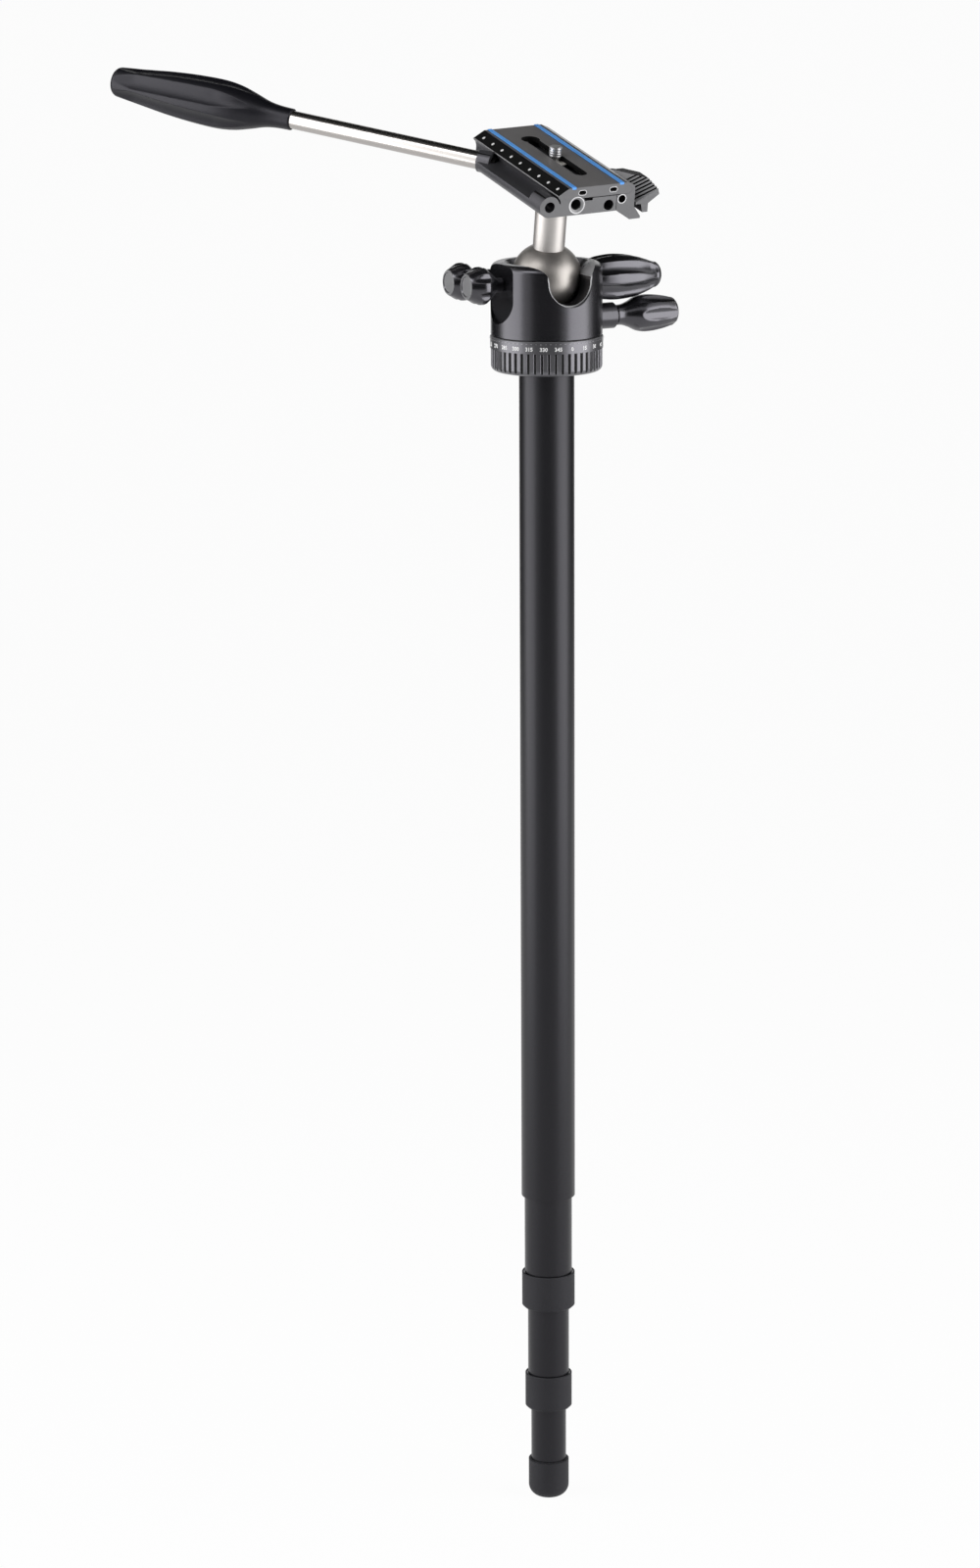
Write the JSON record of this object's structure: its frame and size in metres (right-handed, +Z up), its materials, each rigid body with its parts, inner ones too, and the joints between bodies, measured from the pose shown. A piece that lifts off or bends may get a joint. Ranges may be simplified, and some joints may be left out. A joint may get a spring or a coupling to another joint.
{
  "type": "camera monopod",
  "caption": "Twist-lock camera monopod with a pan base, a ball head, a lever clamp with a slotted dovetail plate and a screwed-in pan handle.",
  "frame": {"origin": "middle of the foot's flat tip", "axes": "+Z up the leg, -Y towards the head's notch, +X along the main lock knob"},
  "size_m": [0.2359, 0.2397, 0.748],
  "materials": {
    "black_metal": "satin black anodised",
    "bare_metal": "turned",
    "ball_metal": "hard anodised, satin",
    "stem_metal": "satin",
    "plate_metal": "satin dark anodised",
    "steel": "turned",
    "bright_rod": "polished",
    "brass": "turned",
    "black_rubber": "matte",
    "blue_rubber": "matte",
    "grip_rubber": "matte soft touch",
    "knob_plastic": "fine satin",
    "pale_plastic": "smooth"
  },
  "bodies": {
    "foot_section": {"foot_pad": "black_rubber", "foot_plug": "knob_plastic", "foot_stud": "steel", "tube_4": "black_metal", "tube_4_bush": "pale_plastic"},
    "section_3": {"tube_3": "black_metal", "tube_3_bush": "pale_plastic", "collet_2": "pale_plastic"},
    "collar_2": {"collar_2_nut": "black_metal", "collar_2_sleeve": "black_rubber"},
    "section_2": {"tube_2": "black_metal", "collet_1": "pale_plastic", "lock_cone": "bare_metal"},
    "collar_1": {"collar_1_nut": "black_metal", "collar_1_sleeve": "black_rubber"},
    "inner_bush": {"lock_bush": "pale_plastic"},
    "section_1": {"tube_1": "black_metal", "tube_1_liner": "knob_plastic", "top_plug": "bare_metal", "head_stud": "steel", "base_plate": "bare_metal", "base_screws": "steel", "base_ring": "black_metal", "pan_bearing": "brass", "glide_disc": "pale_plastic"},
    "head": {"housing": "black_metal", "hub_plate": "bare_metal", "pan_bolt": "steel", "pan_washer": "pale_plastic", "seat_spring": "steel", "ball_seat": "black_metal", "pan_sleeve": "black_metal"},
    "pan_lock": {"pan_knob": "knob_plastic", "pan_screw": "steel"},
    "pan_block": {"pan_shoe": "brass"},
    "main_lock": {"main_knob": "knob_plastic", "main_screw": "steel"},
    "main_block": {"main_shoe": "brass"},
    "friction_lock": {"friction_knob": "knob_plastic", "friction_screw": "steel"},
    "friction_block": {"friction_pad": "brass"},
    "drag_lock": {"drag_knob": "knob_plastic", "drag_screw": "steel"},
    "drag_block": {"drag_pad": "brass"},
    "liner": {"ball_liner": "pale_plastic"},
    "ball_stem": {"ball": "ball_metal", "stem": "stem_metal", "stem_screw": "steel"},
    "clamp": {"clamp_body": "black_metal", "jaw_pins": "steel", "jaw_springs": "steel", "draw_rod": "steel"},
    "jaw": {"clamp_jaw": "black_metal"},
    "lever": {"clamp_lever": "knob_plastic"},
    "quick_plate": {"plate": "plate_metal", "rubber_strips": "blue_rubber"},
    "screw_slider": {"screw_washer": "pale_plastic"},
    "mount_screw": {"camera_screw": "steel"},
    "handle": {"handle_rod": "bright_rod", "handle_grip": "grip_rubber"}
  },
  "joints": [
    {"name": "section_3_slide", "type": "slide", "parent": "foot_section", "child": "section_3", "axis": [0, 0, 1], "range_m": [-0.0285, 0.285]},
    {"name": "collar_2_twist", "type": "hinge", "parent": "section_3", "child": "collar_2", "pos_m": [0, 0, 0.05], "axis": [0, 0, 1], "range_deg": [0, 90]},
    {"name": "section_2_slide", "type": "slide", "parent": "section_3", "child": "section_2", "axis": [0, 0, 1], "range_m": [-0.0363, 0.26]},
    {"name": "collar_1_twist", "type": "hinge", "parent": "section_2", "child": "collar_1", "pos_m": [0, 0, 0.106], "axis": [0, 0, 1], "range_deg": [0, 90]},
    {"name": "inner_lock_twist", "type": "hinge", "parent": "section_2", "child": "inner_bush", "pos_m": [0, 0, 0.5002], "axis": [0, 0, 1], "range_deg": [-180, 180]},
    {"name": "section_1_slide", "type": "slide", "parent": "inner_bush", "child": "section_1", "axis": [0, 0, 1], "range_m": [-0.0417, 0.29]},
    {"name": "pan_turn", "type": "hinge", "parent": "section_1", "child": "head", "pos_m": [0, 0, 0.6206], "axis": [0, 0, 1], "continuous": true},
    {"name": "pan_knob_turn", "type": "hinge", "parent": "head", "child": "pan_lock", "pos_m": [0.0253, 0, 0.6277], "axis": [1, 0, 0], "range_deg": [0, 180]},
    {"name": "pan_shoe_slide", "type": "slide", "parent": "head", "child": "pan_block", "axis": [1, 0, 0], "range_m": [0, 0.0005]},
    {"name": "main_knob_turn", "type": "hinge", "parent": "head", "child": "main_lock", "pos_m": [0.0253, 0, 0.6472], "axis": [1, 0, 0], "range_deg": [0, 180]},
    {"name": "main_shoe_slide", "type": "slide", "parent": "head", "child": "main_block", "axis": [1, 0, 0], "range_m": [0, 0.0005]},
    {"name": "friction_knob_turn", "type": "hinge", "parent": "head", "child": "friction_lock", "pos_m": [-0.0253, 0, 0.647], "axis": [-1, 0, 0], "range_deg": [0, 180]},
    {"name": "friction_pad_slide", "type": "slide", "parent": "head", "child": "friction_block", "axis": [-1, 0, 0], "range_m": [0, 0.0005]},
    {"name": "drag_knob_turn", "type": "hinge", "parent": "head", "child": "drag_lock", "pos_m": [-0.0253, 0.02, 0.647], "axis": [-1, 0, 0], "range_deg": [0, 180]},
    {"name": "drag_pad_slide", "type": "slide", "parent": "head", "child": "drag_block", "axis": [-1, 0, 0], "range_m": [0, 0.0005]},
    {"name": "ball_roll", "type": "hinge", "parent": "head", "child": "liner", "pos_m": [0, 0, 0.649], "axis": [0, 1, 0], "range_deg": [-26, 26]},
    {"name": "ball_tilt", "type": "hinge", "parent": "liner", "child": "ball_stem", "pos_m": [0, 0, 0.649], "axis": [0.999, 0, 0.0454], "range_deg": [-39, 76]},
    {"name": "platform_spin", "type": "hinge", "parent": "ball_stem", "child": "clamp", "pos_m": [-0.00221, -0.01159, 0.69759], "axis": [-0.0441, -0.2317, 0.9718], "continuous": true},
    {"name": "lever_turn", "type": "hinge", "parent": "clamp", "child": "lever", "pos_m": [0.02452, -0.02511, 0.69949], "axis": [-0.0441, -0.2317, 0.9718], "range_deg": [0, 100]},
    {"name": "jaw_slide", "type": "slide", "parent": "clamp", "child": "jaw", "axis": [0.999, 0, 0.0454], "range_m": [0, 0.00307]},
    {"name": "plate_slide", "type": "slide", "parent": "clamp", "child": "quick_plate", "axis": [0.0105, -0.9728, -0.2315], "range_m": [-0.006, 0.006]},
    {"name": "screw_slide", "type": "slide", "parent": "quick_plate", "child": "screw_slider", "axis": [0.0105, -0.9728, -0.2315], "range_m": [-0.024, 0.025]},
    {"name": "screw_turn", "type": "hinge", "parent": "screw_slider", "child": "mount_screw", "pos_m": [-0.00282, -0.01483, 0.71119], "axis": [-0.0441, -0.2317, 0.9718], "continuous": true},
    {"name": "handle_turn", "type": "hinge", "parent": "clamp", "child": "handle", "pos_m": [-0.0302, 0.01343, 0.70784], "axis": [-0.6096, 0.7769, 0.1576], "range_deg": [0, 360]}
  ],
  "couplings": [
    {"joint": "pan_shoe_slide", "follows": "pan_knob_turn", "m_per_rad": 0.00015915},
    {"joint": "main_shoe_slide", "follows": "main_knob_turn", "m_per_rad": 0.00015915},
    {"joint": "friction_pad_slide", "follows": "friction_knob_turn", "m_per_rad": 0.00015915},
    {"joint": "drag_pad_slide", "follows": "drag_knob_turn", "m_per_rad": 0.00015915},
    {"joint": "jaw_slide", "follows": "lever_turn", "m_per_rad": 0.001756}
  ]
}
